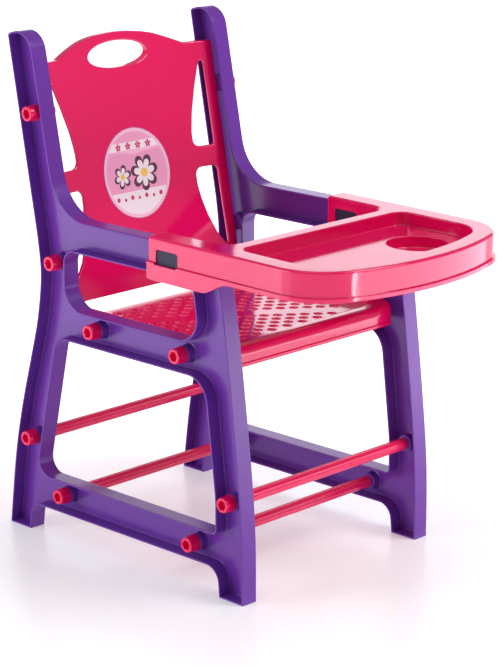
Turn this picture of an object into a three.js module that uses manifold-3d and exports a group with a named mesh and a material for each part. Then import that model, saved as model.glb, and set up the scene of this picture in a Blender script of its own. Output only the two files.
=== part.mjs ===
// Toy high chair for dolls: two channel-section side frames, a perforated seat, a dished backrest,
// four cross rods and a clip-on tray, held together by plastic bolts.
// Millimetres, +Z up, front of the chair towards -Y, the sitter's right at -X.
// Lengths below are measured from the middle of the feet; the group is moved at the end so that the
// origin is the centre of the footprint of the whole chair, on the floor.
import * as THREE from 'three';
import { mergeVertices } from 'three/addons/utils/BufferGeometryUtils.js';
import Module from 'manifold-3d';

const wasm = await Module();
wasm.setup();

// ---- driving dimensions ----------------------------------------------------------------------
const GAP = 0.3;                      // clearance between pieces that touch

const FRAME_OUT = 136.85;             // middle plane to the outer face of a side frame
const FRAME_T = 19.3;                 // width of a side frame along X
const FRAME_IN = FRAME_OUT - FRAME_T;
const WEB_T = 5;                      // web of the channel
const FLANGE_T = 1.9;                 // flange of the channel
const FRAME_STEP = 2 * FRAME_OUT - FRAME_T;   // from the right frame to the identical left one

const ARM_TOP_Z = 342.6;              // top of the armrest
const RAIL_LOW_Z = 29.5;              // underside of the bottom rail
const RAIL_TOP_Z = 64.5;              // top of the bottom rail
const SEAT_RAIL_LOW_Z = 216.5;        // underside of the seat rail
const SEAT_RAIL_TOP_Z = 250;          // top of the seat rail
const ARM_LOW_Z = 310;                // underside of the armrest

// bolt axes on the side frames: [y, z]
const BOLTS = {
  leg_front: [-151.2, 99.5],
  rail_front: [-101.8, 46.5],
  rail_rear: [87.4, 49.1],
  leg_rear: [135.5, 101.8],
  seat_rear: [36.5, 234.3],
  seat_front: [-86.4, 234.3],
  back_upper: [121.1, 443.6],
  back_lower: [93.1, 295.1],
};
const ROD_NAMES = ['leg_front', 'rail_front', 'rail_rear', 'leg_rear'];
const SEAT_BOLTS = ['seat_rear', 'seat_front'];
const BACK_BOLTS = ['back_upper', 'back_lower'];

const BOSS_R = 8.8;                   // tubular boss round each bolt
const BOSS_L = 9;
const SHANK_R = 4;                    // bolt shank
const SHANK_HOLE_R = 4.3;
const SHANK_DEPTH = 17;               // how far a shank reaches into a rod or the seat
const BACK_SHANK_DEPTH = 5.5;         // how far one reaches into the side strips of the backrest
const HEAD_R = 8.5;                   // bolt head at its seat
const HEAD_TIP_R = 6.4;
const HEAD_PROUD = 7.5;               // how far a head stands out of the frame's side
const HEAD_SOCKET_R = 3.6;
const HEAD_SOCKET_DEPTH = 5;

const ROD_R = 6.2;
const ROD_FLUTES = 12;
const ROD_FLUTE_DEPTH = 0.6;

const PANEL_T = 3;                    // moulded wall of seat and backrest
const PANEL_HALF = FRAME_IN - GAP;    // half width of seat and backrest
const SIDE_WALL_T = 3;                // walls that take the bolts
const PANEL_BOSS_R = 6.3;
const BOSS_END = 1.2;                 // closed end of a boss beyond its hole
const SHANK_END_GAP = 0.5;

const SEAT_Z = 240;                   // top of the perforated floor
const SEAT_REAR_Y = 72;
const SEAT_FRONT_Y = -134;
const SEAT_ROLL_TOP_Z = 245;          // top of the rolled front edge
const SEAT_ROLL_LOW_Z = 225;
const SEAT_SIDE_TOP_Z = 249.5;
const SEAT_FLAT_HALF = 88;            // the floor curves up outside this
const SEAT_SIDE_LOW_Z = 223;
const HOLE_R = 4.6;
const HOLE_PITCH_X = 11;              // staggered pattern
const HOLE_PITCH_Y = 17;
const HOLE_SIDES = 6;

const BACK_LOW_Z = 250;               // bottom edge of the backrest
const BACK_SHOULDER_Z = 489;
const BACK_CREST_Z = 508;
const BACK_DISH = 11;                 // depth of the hollow over most of the height
const BACK_DISH_TOP = 4;              // further depth at the crest
const BACK_LEFT = 122.2;              // the left edge reaches into the open channel of the left frame
const BACK_FLANGE = 9;                // side flanges, standing backwards
const DECAL_R = 47.5;
const DECAL_Z = 364;
const DECAL_T = 0.5;
const DECAL_GAP = 0.5;                // off the facets of the backrest

const TRAY_TOP_Z = 345.5;
const TRAY_WALL = 2.7;
const TRAY_HALF = 139.9;              // outer face of the side walls
const TRAY_ARM_REAR_Y = -47.5;        // rear end of the sleeves over the armrests
const TRAY_REAR_Y = -129.5;           // rear edge between the sleeves
const TRAY_FRONT_Y = -292;
const TRAY_FRONT_R = 301;             // bulge of the front edge
const TRAY_CORNER_R = 60;
const TRAY_SKIRT_Z = 316.5;           // bottom of the rim
const TRAY_STEP_Z = 321;              // step above the flared lip
const TRAY_LIP = 2.5;
const TRAY_CHEEK_Z = 303.3;           // bottom of the cheeks beside the armrests
const TRAY_DROOP = 0.7;               // degrees, nose down
const TRAY_FLOOR_Z = 331.8;           // floor of the recess
const TRAY_RIM = 20;                  // width of the rim at the front
const RECESS_HALF = 117;
const RECESS_REAR_Y = -146;
const CUP_R = 30.5;
const CUP_X = 66;
const CUP_Y = -212;
const CUP_FLOOR_Z = 320;

const WINDOW_Y = [-89, -59];           // windows in the walls of the sleeves
const WINDOW_Z = [319, 334];
const CATCH_T = 1.7;                  // press-in catches that fill the windows facing -X
const CATCH_CLEAR = 0.4;

// ---- materials -------------------------------------------------------------------------------
const plastic = (color, roughness) => new THREE.MeshStandardMaterial({ color, roughness, metalness: 0 });
const PURPLE = plastic(0x5b3492, 0.3);
const PINK = plastic(0xe0265f, 0.28);
const SLATE = plastic(0x3a3550, 0.4);
const STICKER = plastic(0xf0b8d6, 0.35);

// ---- solids ----------------------------------------------------------------------------------
function solid(geometry) {
  const bare = geometry.clone();
  bare.deleteAttribute('normal');
  bare.deleteAttribute('uv');
  const merged = mergeVertices(bare, 1e-4);
  const vertProperties = new Float32Array(merged.attributes.position.array);
  const triVerts = new Uint32Array(merged.index.array);
  return new wasm.Manifold(new wasm.Mesh({ numProp: 3, vertProperties, triVerts }));
}

function mesh(name, body, material) {
  const out = body.getMesh();
  const geometry = new THREE.BufferGeometry();
  geometry.setAttribute('position', new THREE.BufferAttribute(new Float32Array(out.vertProperties), 3));
  geometry.setIndex(new THREE.BufferAttribute(new Uint32Array(out.triVerts), 1));
  const part = new THREE.Mesh(geometry, material.clone());
  part.name = name;
  return part;
}

const ALONG_X = new THREE.Matrix4().makeBasis(
  new THREE.Vector3(0, 1, 0), new THREE.Vector3(0, 0, 1), new THREE.Vector3(1, 0, 0));
const ALONG_Y = new THREE.Matrix4().makeBasis(
  new THREE.Vector3(1, 0, 0), new THREE.Vector3(0, 0, 1), new THREE.Vector3(0, -1, 0));

function prism(loop, from, to, holes = []) {
  const shape = new THREE.Shape(loop);
  shape.holes = holes.map((hole) => new THREE.Path(hole));
  const geometry = new THREE.ExtrudeGeometry(shape, { depth: to - from, bevelEnabled: false });
  geometry.translate(0, 0, from);
  return geometry;
}

// a (y, z) outline pushed along X, an (x, z) outline pushed along Y, an (x, y) outline pushed along Z
const prismX = (loop, from, to, holes) => solid(prism(loop, from, to, holes).applyMatrix4(ALONG_X));
const prismY = (loop, from, to, holes) => solid(prism(loop, -to, -from, holes).applyMatrix4(ALONG_Y));
const prismZ = (loop, from, to, holes) => solid(prism(loop, from, to, holes));

// a turned piece on an axis along X: profile points are [x, radius]
function turnedX(profile, y, z, sides) {
  const points = profile.map(([x, radius]) => new THREE.Vector2(radius, x));
  const geometry = new THREE.LatheGeometry(points, sides);
  geometry.rotateZ(-Math.PI / 2);
  geometry.translate(0, y, z);
  return solid(geometry);
}

const rodX = (from, to, radius, y, z, sides = 16) =>
  turnedX([[from, 0], [from, radius], [to, radius], [to, 0]], y, z, sides);

// ---- outlines --------------------------------------------------------------------------------
const v2 = (a, b) => new THREE.Vector2(a, b);

function circle(a, b, radius, sides, turn = 0) {
  const points = [];
  for (let i = 0; i < sides; i += 1) {
    const angle = turn + (i / sides) * 2 * Math.PI;
    points.push(v2(a + radius * Math.cos(angle), b + radius * Math.sin(angle)));
  }
  return points;
}

// a closed outline from corners [a, b, fillet radius], with each fillet cut into short sides
function rounded(corners, stepDegrees = 15) {
  const points = [];
  corners.forEach(([a, b, radius], i) => {
    const corner = v2(a, b);
    if (!radius) {
      points.push(corner);
      return;
    }
    const before = corners[(i + corners.length - 1) % corners.length];
    const after = corners[(i + 1) % corners.length];
    const back = v2(before[0], before[1]).sub(corner).normalize();
    const ahead = v2(after[0], after[1]).sub(corner).normalize();
    const half = Math.acos(THREE.MathUtils.clamp(back.dot(ahead), -1, 1)) / 2;
    const bisector = back.clone().add(ahead).normalize();
    const centre = corner.clone().addScaledVector(bisector, radius / Math.sin(half));
    const start = corner.clone().addScaledVector(back, radius / Math.tan(half)).sub(centre);
    const sweep = Math.sign(start.cross(corner.clone().sub(centre))) * (Math.PI - 2 * half);
    const steps = Math.max(1, Math.round(Math.abs(sweep) / THREE.MathUtils.degToRad(stepDegrees)));
    for (let k = 0; k <= steps; k += 1) {
      points.push(start.clone().rotateAround(v2(0, 0), (sweep * k) / steps).add(centre));
    }
  });
  return points;
}

const mirrored = (loop) => loop.map((p) => v2(-p.x, p.y)).reverse();

// points along a smooth curve through a few places, as fillet-free corners
function smooth(places, count) {
  const curve = new THREE.SplineCurve(places.map(([a, b]) => v2(a, b)));
  return curve.getPoints(count).map((p) => [p.x, p.y, 0]);
}

// the same outline moved sideways: a positive distance shrinks a counter-clockwise loop
function offset(loop, distance) {
  return loop.map((point, i) => {
    const before = loop[(i + loop.length - 1) % loop.length];
    const after = loop[(i + 1) % loop.length];
    const first = point.clone().sub(before).normalize();
    const second = after.clone().sub(point).normalize();
    const n1 = v2(-first.y, first.x);
    const n2 = v2(-second.y, second.x);
    return point.clone().addScaledVector(n1.clone().add(n2), distance / (1 + n1.dot(n2)));
  });
}

// ---- side frames -----------------------------------------------------------------------------
// (y, z) outline, counter-clockwise from the heel of the front foot
function frameOutline() {
  const rearEdge = smooth([
    [172, 0], [160.5, 81], [147.4, 139], [132.3, 191], [120.6, 234], [114.4, 280], [118.3, 319],
  ], 16);
  const frontEdge = smooth([[-141, 316], [-152.3, 243], [-169.4, 93], [-171.7, 0]], 10);
  return rounded([
    [-139.5, 0, 0],
    [-136.5, RAIL_LOW_Z, 16],
    [136, RAIL_LOW_Z, 16],
    [140, 0, 0],
    ...rearEdge,
    [155.9, 520, 3.5],
    [124.1, 529, 22],
    [87.5, ARM_TOP_Z, 51],
    [-136.6, ARM_TOP_Z, 8],
    ...frontEdge,
  ]);
}

const lowerWindow = () => rounded([
  [-134.5, RAIL_TOP_Z, 5], [127, RAIL_TOP_Z, 16], [92.3, SEAT_RAIL_LOW_Z, 14],
  [-120.5, SEAT_RAIL_LOW_Z, 26], [-134.5, 100, 80],
]);

const upperWindow = () => rounded([
  [-114, SEAT_RAIL_TOP_Z, 24], [77.5, SEAT_RAIL_TOP_Z, 25], [77.5, ARM_LOW_Z, 14],
  [-104.5, ARM_LOW_Z, 10],
]);

// a channel that is open towards -X: web on the +X side, flange round every edge
function sideFrame(name, shift) {
  const open = -FRAME_OUT + shift;
  const webBack = -FRAME_IN + shift;
  const webFace = webBack - WEB_T;
  const outline = frameOutline();
  const windows = [lowerWindow(), upperWindow()];
  const pocket = prismX(offset(outline, FLANGE_T), open - 1, webFace,
    windows.map((loop) => offset(loop, -FLANGE_T)));
  let body = prismX(outline, open, webBack, windows).subtract(pocket);
  for (const [y, z] of Object.values(BOLTS)) {
    body = body.add(rodX(webFace - BOSS_L, webFace + 1, BOSS_R, y, z));
  }
  for (const [y, z] of Object.values(BOLTS)) {
    body = body.subtract(rodX(webFace - BOSS_L - 1, webBack + 1, SHANK_HOLE_R, y, z, 12));
  }
  return mesh(name, body, PURPLE);
}

// ---- bolts -----------------------------------------------------------------------------------
const RIGHT_SEAT_X = -FRAME_IN - WEB_T - BOSS_L - GAP;   // under the head of a bolt on the right
const LEFT_SEAT_X = FRAME_OUT + GAP;
const LEFT_BOSS_X = FRAME_OUT - WEB_T - BOSS_L;          // face of a boss inside the left frame

function bolt(name, seat, tip, end, [y, z]) {
  const out = Math.sign(tip - seat);
  const profile = [
    [end, 0], [end, SHANK_R], [seat, SHANK_R], [seat, HEAD_R],
    [tip - out * 3, (HEAD_R + HEAD_TIP_R) / 2], [tip, HEAD_TIP_R],
    [tip, HEAD_SOCKET_R], [tip - out * HEAD_SOCKET_DEPTH, HEAD_SOCKET_R],
    [tip - out * HEAD_SOCKET_DEPTH, 0],
  ];
  if (out < 0) {
    profile.reverse();
  }
  return mesh(name, turnedX(profile, y, z, 12), PINK);
}

const shankDepth = (place) => (BACK_BOLTS.includes(place) ? BACK_SHANK_DEPTH : SHANK_DEPTH);

function rightBolt(place) {
  return bolt(`bolt_right_${place}`, RIGHT_SEAT_X, -FRAME_OUT - HEAD_PROUD,
    -PANEL_HALF + shankDepth(place), BOLTS[place]);
}

function leftBolt(place) {
  return bolt(`bolt_left_${place}`, LEFT_SEAT_X, FRAME_OUT + HEAD_PROUD,
    LEFT_BOSS_X - GAP - shankDepth(place), BOLTS[place]);
}

// ---- cross rods ------------------------------------------------------------------------------
function crossRod(place) {
  const [y, z] = BOLTS[place];
  const from = -PANEL_HALF;
  const to = LEFT_BOSS_X - GAP;
  const flutes = [];
  for (let i = 0; i < ROD_FLUTES * 2; i += 1) {
    const radius = i % 2 ? ROD_R - ROD_FLUTE_DEPTH : ROD_R;
    const angle = (i / (ROD_FLUTES * 2)) * 2 * Math.PI;
    flutes.push(v2(y + radius * Math.cos(angle), z + radius * Math.sin(angle)));
  }
  const depth = SHANK_DEPTH + 2;
  const body = prismX(flutes, from, to)
    .subtract(rodX(from - 1, from + depth, SHANK_HOLE_R, y, z, 12))
    .subtract(rodX(to - depth, to + 1, SHANK_HOLE_R, y, z, 12));
  return mesh(`cross_rod_${place}`, body, PINK);
}

// blind bosses round the bolts; on the left they start at the boss of the side frame
function addBolting(body, places, depth) {
  const leftFrom = LEFT_BOSS_X - GAP;
  const hole = depth + SHANK_END_GAP;
  const reach = hole + BOSS_END;
  let result = body;
  for (const place of places) {
    const [y, z] = BOLTS[place];
    result = result
      .add(rodX(-PANEL_HALF, -PANEL_HALF + reach, PANEL_BOSS_R, y, z))
      .add(rodX(leftFrom - reach, leftFrom, PANEL_BOSS_R, y, z));
  }
  for (const place of places) {
    const [y, z] = BOLTS[place];
    result = result
      .subtract(rodX(-PANEL_HALF - 1, -PANEL_HALF + hole, SHANK_HOLE_R, y, z, 12))
      .subtract(rodX(leftFrom - hole, leftFrom + 1, SHANK_HOLE_R, y, z, 12));
  }
  return result;
}

// ---- seat ------------------------------------------------------------------------------------
function seatSection() {
  const roll = 10;
  return rounded([
    [SEAT_FRONT_Y, SEAT_ROLL_LOW_Z, 0],
    [SEAT_FRONT_Y + PANEL_T, SEAT_ROLL_LOW_Z, 0],
    [SEAT_FRONT_Y + PANEL_T, SEAT_ROLL_TOP_Z - PANEL_T, roll - PANEL_T],
    [-117, SEAT_ROLL_TOP_Z - PANEL_T, 6],
    [-110, SEAT_Z - PANEL_T, 6],
    [SEAT_REAR_Y - PANEL_T, SEAT_Z - PANEL_T, 0],
    [SEAT_REAR_Y - PANEL_T, SEAT_Z - 11, 0],
    [SEAT_REAR_Y, SEAT_Z - 11, 0],
    [SEAT_REAR_Y, SEAT_Z, 2],
    [-110, SEAT_Z, 8],
    [-117, SEAT_ROLL_TOP_Z, 8],
    [SEAT_FRONT_Y, SEAT_ROLL_TOP_Z, roll],
  ], 22.5);
}

// staggered holes, left out along one diagonal of the seat and clear of its edges
function holePlaces() {
  const places = [];
  for (let column = -8; column <= 8; column += 1) {
    const x = column * HOLE_PITCH_X;
    const stagger = column % 2 ? HOLE_PITCH_Y / 2 : 0;
    for (let y = -100 + stagger; y < 60; y += HOLE_PITCH_Y) {
      const fromDiagonal = Math.abs(y + 38 + 0.67 * x);
      if (fromDiagonal > 9.5) {
        places.push([x, y]);
      }
    }
  }
  return places;
}

// (x, z) outline of the left margin, which sweeps up to the side frame
function seatMargin() {
  const top = smooth([
    [SEAT_FLAT_HALF - 2, SEAT_Z], [98, 241.2], [108, 244.4], [PANEL_HALF, SEAT_SIDE_TOP_Z],
  ], 6);
  const under = [...top].reverse().map(([x, z]) => [x, z - PANEL_T, 0]);
  return rounded([...under, ...top]);
}

function seat() {
  const side = rounded([
    [-128, SEAT_SIDE_LOW_Z, 6], [66, SEAT_SIDE_LOW_Z, 6], [66, SEAT_SIDE_TOP_Z, 6],
    [-128, SEAT_SIDE_TOP_Z, 10],
  ], 30);
  const inner = PANEL_HALF - SIDE_WALL_T;
  let body = prismX(seatSection(), -PANEL_HALF, PANEL_HALF)
    .add(prismX(side, -PANEL_HALF, -inner))
    .add(prismX(side, inner, PANEL_HALF));
  for (const margin of [seatMargin(), mirrored(seatMargin())]) {
    body = body.add(prismY(margin, SEAT_FRONT_Y + 10, SEAT_REAR_Y));
  }
  body = addBolting(body, SEAT_BOLTS, SHANK_DEPTH);
  for (const [x, y] of holePlaces()) {
    body = body.subtract(prismZ(circle(x, y, HOLE_R, HOLE_SIDES), SEAT_Z - PANEL_T - 1, SEAT_Z + 1));
  }
  return mesh('seat', body, PINK);
}

// ---- backrest --------------------------------------------------------------------------------
const [LOWER_Y, LOWER_Z] = BOLTS.back_lower;
const [UPPER_Y, UPPER_Z] = BOLTS.back_upper;
const LEAN = (UPPER_Y - LOWER_Y) / (UPPER_Z - LOWER_Z);

const sideLineY = (z) => LOWER_Y + LEAN * (z - LOWER_Z);

// front face of the backrest: a straight leaning line at the sides, hollow in the middle
function backFaceY(x, z) {
  const dish = BACK_DISH * THREE.MathUtils.smoothstep(z, BACK_LOW_Z, 340)
    + BACK_DISH_TOP * THREE.MathUtils.smoothstep(z, 410, 490);
  return sideLineY(z) + dish * (1 - (x / FRAME_IN) ** 2);
}

// a curved slab between two distances behind the front face
function backSlab([left, right], [low, high], [near, far], columns, rows) {
  const positions = [];
  const indices = [];
  const layer = (columns + 1) * (rows + 1);
  for (const depth of [near, far]) {
    for (let j = 0; j <= rows; j += 1) {
      const z = low + ((high - low) * j) / rows;
      for (let i = 0; i <= columns; i += 1) {
        const x = left + ((right - left) * i) / columns;
        positions.push(x, backFaceY(x, z) + depth, z);
      }
    }
  }
  const at = (i, j) => j * (columns + 1) + i;
  const quad = (a, b, c, d) => indices.push(a, b, c, a, c, d);
  for (let j = 0; j < rows; j += 1) {
    for (let i = 0; i < columns; i += 1) {
      quad(at(i, j), at(i + 1, j), at(i + 1, j + 1), at(i, j + 1));
      quad(layer + at(i, j), layer + at(i, j + 1), layer + at(i + 1, j + 1), layer + at(i + 1, j));
    }
  }
  for (let i = 0; i < columns; i += 1) {
    quad(at(i + 1, 0), at(i, 0), layer + at(i, 0), layer + at(i + 1, 0));
    quad(at(i, rows), at(i + 1, rows), layer + at(i + 1, rows), layer + at(i, rows));
  }
  for (let j = 0; j < rows; j += 1) {
    quad(at(0, j), at(0, j + 1), layer + at(0, j + 1), layer + at(0, j));
    quad(at(columns, j + 1), at(columns, j), layer + at(columns, j), layer + at(columns, j + 1));
  }
  const geometry = new THREE.BufferGeometry();
  geometry.setAttribute('position', new THREE.Float32BufferAttribute(positions, 3));
  geometry.setIndex(indices);
  return solid(geometry);
}

// (x, z) outlines
function crestOutline() {
  const dome = smooth([
    [88, BACK_SHOULDER_Z], [74, 494.5], [50, 502.5], [25, 506.6], [0, BACK_CREST_Z],
    [-25, 506.6], [-50, 502.5], [-74, 494.5], [-88, BACK_SHOULDER_Z],
  ], 20);
  return rounded([
    [-PANEL_HALF, BACK_LOW_Z, 6], [BACK_LEFT, BACK_LOW_Z, 6],
    [BACK_LEFT, BACK_SHOULDER_Z, 0], ...dome, [-PANEL_HALF, BACK_SHOULDER_Z, 0],
  ]);
}

const handleHole = () => circle(0, 0, 1, 24).map((p) => v2(41.5 * p.x, 485.5 + 13.5 * p.y));

const upperSlot = () => rounded([
  [82.5, 380, 8], [110, 380, 4], [110, 468, 3], [104, 468, 3], [94.8, 443, 0], [86.5, 416, 0],
  [82.8, 396, 0],
]);

const lowerSlot = () => rounded([
  [110, 276, 2], [110, 358, 6], [81, 358, 8], [81.5, 340, 0], [84, 325, 0], [88.4, 308, 0],
  [96.5, 288.5, 0], [106, 276, 2],
]);

function backrest() {
  let body = backSlab([-PANEL_HALF, BACK_LEFT], [BACK_LOW_Z, BACK_CREST_Z], [0, PANEL_T], 12, 12);
  body = body.intersect(prismY(crestOutline(), 60, 200));
  const cuts = [handleHole()];
  for (const slot of [upperSlot(), lowerSlot()]) {
    cuts.push(slot, mirrored(slot));
  }
  for (const loop of cuts) {
    body = body.subtract(prismY(loop, 60, 200));
  }
  const flange = rounded([
    [sideLineY(260) + 1, 260, 0], [sideLineY(262) + BACK_FLANGE, 262, 5],
    [sideLineY(486) + BACK_FLANGE, 486, 5], [sideLineY(486) + 1, 486, 0],
  ], 30);
  body = body.add(prismX(flange, -PANEL_HALF, -PANEL_HALF + SIDE_WALL_T));
  body = body.add(prismX(flange, BACK_LEFT - SIDE_WALL_T, BACK_LEFT));
  return mesh('backrest', addBolting(body, BACK_BOLTS, BACK_SHANK_DEPTH), PINK);
}

function decal() {
  const reach = DECAL_R + 2;
  const slab = backSlab([-reach, reach], [DECAL_Z - reach, DECAL_Z + reach],
    [-DECAL_GAP - DECAL_T, -DECAL_GAP], 6, 6);
  return mesh('decal', slab.intersect(prismY(circle(0, DECAL_Z, DECAL_R, 28), 60, 200)), STICKER);
}

// ---- tray ------------------------------------------------------------------------------------
// (x, y) outline with a bulging front, made smaller all round by inset
function bulgingFront(half, rearY, inset, rearCorner) {
  const radius = TRAY_FRONT_R - inset;
  const fillet = TRAY_CORNER_R - inset;
  const centreY = TRAY_FRONT_Y + TRAY_FRONT_R;
  const filletX = half - fillet;
  const filletY = centreY - Math.sqrt((radius - fillet) ** 2 - filletX ** 2);
  const meet = Math.atan2(filletX, centreY - filletY);
  const points = [];
  const corner = (side) => {
    const arc = [];
    for (let k = 0; k <= 8; k += 1) {
      const angle = (k / 8) * (Math.PI / 2 - meet);
      arc.push(v2(side * (filletX + fillet * Math.cos(angle)), filletY - fillet * Math.sin(angle)));
    }
    return arc;
  };
  points.push(...corner(-1));
  for (let k = 1; k < 12; k += 1) {
    const angle = -meet + (2 * meet * k) / 12;
    points.push(v2(radius * Math.sin(angle), centreY - radius * Math.cos(angle)));
  }
  points.push(...corner(1).reverse());
  const rear = rounded([
    [half, rearY - 40, 0], [half, rearY, rearCorner], [-half, rearY, rearCorner],
    [-half, rearY - 40, 0],
  ]);
  return points.concat(rear.slice(1, -1));
}

// the D-shaped plate with the two sleeves behind it, each wall moved inwards by inset
function trayOutline(inset, notchInset, rearY) {
  const half = TRAY_HALF - inset;
  const sleeveIn = FRAME_IN - GAP - TRAY_WALL + notchInset;
  const notchY = TRAY_REAR_Y - notchInset;
  const plate = bulgingFront(half, rearY, inset, 0);
  const notch = rounded([
    [sleeveIn, rearY, 0], [sleeveIn, notchY, 20 + notchInset],
    [-sleeveIn, notchY, 20 + notchInset], [-sleeveIn, rearY, 0],
  ]);
  return plate.slice(0, -1).concat(notch, plate.slice(-1));
}

function trayShell() {
  const top = trayOutline(0, 0, TRAY_ARM_REAR_Y);
  const lip = trayOutline(-TRAY_LIP, 0, TRAY_ARM_REAR_Y);
  const inside = trayOutline(TRAY_WALL, TRAY_WALL, TRAY_ARM_REAR_Y + 5);
  return prismZ(top, TRAY_SKIRT_Z, TRAY_TOP_Z)
    .add(prismZ(lip, TRAY_SKIRT_Z, TRAY_STEP_Z))
    .subtract(prismZ(inside, TRAY_SKIRT_Z - 1, TRAY_TOP_Z - TRAY_WALL + 0.1));
}

// cheeks hang beside the armrests and arch up in front of the front legs
function cheek(side) {
  const outline = rounded([
    [-160, TRAY_STEP_Z, 0], [-160, TRAY_SKIRT_Z, 0], [-146, TRAY_SKIRT_Z, 8],
    [-134, TRAY_CHEEK_Z, 8], [TRAY_ARM_REAR_Y, TRAY_CHEEK_Z, 4], [TRAY_ARM_REAR_Y, TRAY_STEP_Z, 0],
  ]);
  const near = side * (TRAY_HALF - 0.3);
  const far = side * (TRAY_HALF + TRAY_LIP);
  return prismX(outline, Math.min(near, far), Math.max(near, far));
}

function tray() {
  let body = trayShell();
  for (const side of [-1, 1]) {
    body = body.add(cheek(side));
  }
  const recess = bulgingFront(RECESS_HALF, RECESS_REAR_Y, TRAY_RIM, 14);
  const pan = offset(recess, -TRAY_WALL);
  body = body.add(prismZ(pan, TRAY_FLOOR_Z - TRAY_WALL, TRAY_TOP_Z - 1));
  const well = circle(CUP_X, CUP_Y, CUP_R + TRAY_WALL, 24);
  body = body.add(prismZ(well, CUP_FLOOR_Z - TRAY_WALL, TRAY_FLOOR_Z));
  body = body.subtract(prismZ(recess, TRAY_FLOOR_Z, TRAY_TOP_Z + 1));
  body = body.subtract(prismZ(circle(CUP_X, CUP_Y, CUP_R, 24), CUP_FLOOR_Z, TRAY_FLOOR_Z + 1));
  const window = rounded([
    [WINDOW_Y[0], WINDOW_Z[0], 0], [WINDOW_Y[1], WINDOW_Z[0], 0],
    [WINDOW_Y[1], WINDOW_Z[1], 3], [WINDOW_Y[0], WINDOW_Z[1], 3],
  ], 45);
  const innerFace = FRAME_IN - GAP - TRAY_WALL;
  for (const [from, to] of [[innerFace - 1, FRAME_IN], [FRAME_OUT, TRAY_HALF + 5]]) {
    body = body.subtract(prismX(window, from, to));
    body = body.subtract(prismX(window, -to, -from));
  }
  return mesh('tray', body, PINK);
}

// a flat catch inside a window, its inner face flush with the inside of the sleeve's wall
function trayCatch(name, innerX) {
  const [y0, y1] = [WINDOW_Y[0] + CATCH_CLEAR, WINDOW_Y[1] - CATCH_CLEAR];
  const [z0, z1] = [WINDOW_Z[0] + CATCH_CLEAR, WINDOW_Z[1] - CATCH_CLEAR];
  const outline = rounded([[y0, z0, 0], [y1, z0, 0], [y1, z1, 3], [y0, z1, 3]], 45);
  return mesh(name, prismX(outline, innerX - CATCH_T, innerX), SLATE);
}

// the tray and its catches tip forward about the front of the armrests
function trayGroup() {
  const pivotY = -138;
  const pivotZ = ARM_TOP_Z + GAP;
  const tipped = new THREE.Group();
  tipped.position.set(0, pivotY, pivotZ);
  tipped.rotation.x = THREE.MathUtils.degToRad(TRAY_DROOP);
  const parts = new THREE.Group();
  parts.position.set(0, -pivotY, -pivotZ);
  parts.add(
    tray(),
    trayCatch('tray_catch_right', -TRAY_HALF + TRAY_WALL),
    trayCatch('tray_catch_left', FRAME_IN - GAP),
  );
  tipped.add(parts);
  return tipped;
}

// ---- assembly --------------------------------------------------------------------------------
const group = new THREE.Group();
group.add(sideFrame('side_frame_right', 0), sideFrame('side_frame_left', FRAME_STEP));
for (const place of ROD_NAMES) {
  group.add(crossRod(place));
}
group.add(seat(), backrest(), decal());
for (const place of Object.keys(BOLTS)) {
  group.add(rightBolt(place), leftBolt(place));
}
group.add(trayGroup());

const bounds = new THREE.Box3().setFromObject(group);
group.position.y = -(bounds.min.y + bounds.max.y) / 2;

export default group;
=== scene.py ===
"""Studio scene of a toy high chair for dolls: moulded plastic on a pale floor.

Shapes are written in millimetres, measured from the middle of the feet with +Z up and the front
of the chair towards -Y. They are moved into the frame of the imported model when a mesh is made.
"""
import math

import bmesh
import bpy
from mathutils import Matrix, Vector
from mathutils.geometry import delaunay_2d_cdt


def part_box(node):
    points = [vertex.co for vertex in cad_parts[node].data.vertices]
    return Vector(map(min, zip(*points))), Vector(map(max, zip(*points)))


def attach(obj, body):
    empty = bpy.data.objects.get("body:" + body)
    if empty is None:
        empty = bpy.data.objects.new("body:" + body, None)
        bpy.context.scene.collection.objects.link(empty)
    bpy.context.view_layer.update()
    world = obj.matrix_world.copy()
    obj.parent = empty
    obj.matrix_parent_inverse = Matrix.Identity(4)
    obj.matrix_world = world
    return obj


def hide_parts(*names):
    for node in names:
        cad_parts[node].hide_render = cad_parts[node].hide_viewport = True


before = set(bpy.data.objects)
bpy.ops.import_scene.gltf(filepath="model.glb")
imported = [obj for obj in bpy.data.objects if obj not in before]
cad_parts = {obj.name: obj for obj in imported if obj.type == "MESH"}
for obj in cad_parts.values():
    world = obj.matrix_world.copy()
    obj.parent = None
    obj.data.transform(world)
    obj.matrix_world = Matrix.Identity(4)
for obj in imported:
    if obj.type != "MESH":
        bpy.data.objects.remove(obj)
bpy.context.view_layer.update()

# ---- dimensions -------------------------------------------------------------------------------
FRAME_OUT = 136.85              # middle plane to the outer face of a side frame
FRAME_T = 19.3                  # thickness of a side frame
FRAME_IN = FRAME_OUT - FRAME_T
FRAME_STEP = FRAME_OUT + FRAME_IN       # from the right frame to the left one
WEB_T = 5.0
FLANGE_T = 1.9
FRONT_FOOT_Y = -171.7           # front of the front feet

BOLTS = {                       # (y, z) of each bolt's axis
    "leg_front": (-151.2, 99.5),
    "rail_front": (-101.8, 46.5),
    "rail_rear": (87.4, 49.1),
    "leg_rear": (135.5, 101.8),
    "seat_rear": (36.5, 234.3),
    "seat_front": (-86.4, 234.3),
    "back_upper": (121.1, 443.6),
    "back_lower": (93.1, 295.1),
}
RODS = ("leg_front", "rail_front", "rail_rear", "leg_rear")
SEAT_BOLTS = ("seat_rear", "seat_front")
BACK_BOLTS = ("back_upper", "back_lower")
BOSS_R = 8.8
BOSS_L = 9.0
BOSS_FACE = FRAME_IN + WEB_T + BOSS_L      # right frame, measured towards -X
LEFT_BOSS_X = FRAME_OUT - WEB_T - BOSS_L
FIT = 0.3                       # gap between a boss and what stands against it
HEAD_TIP_X = FRAME_OUT + 7.5
GRIPS = 24                      # shallow grips round a bolt head
GRIP_WAVE = 0.16                # half the depth of a grip
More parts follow.
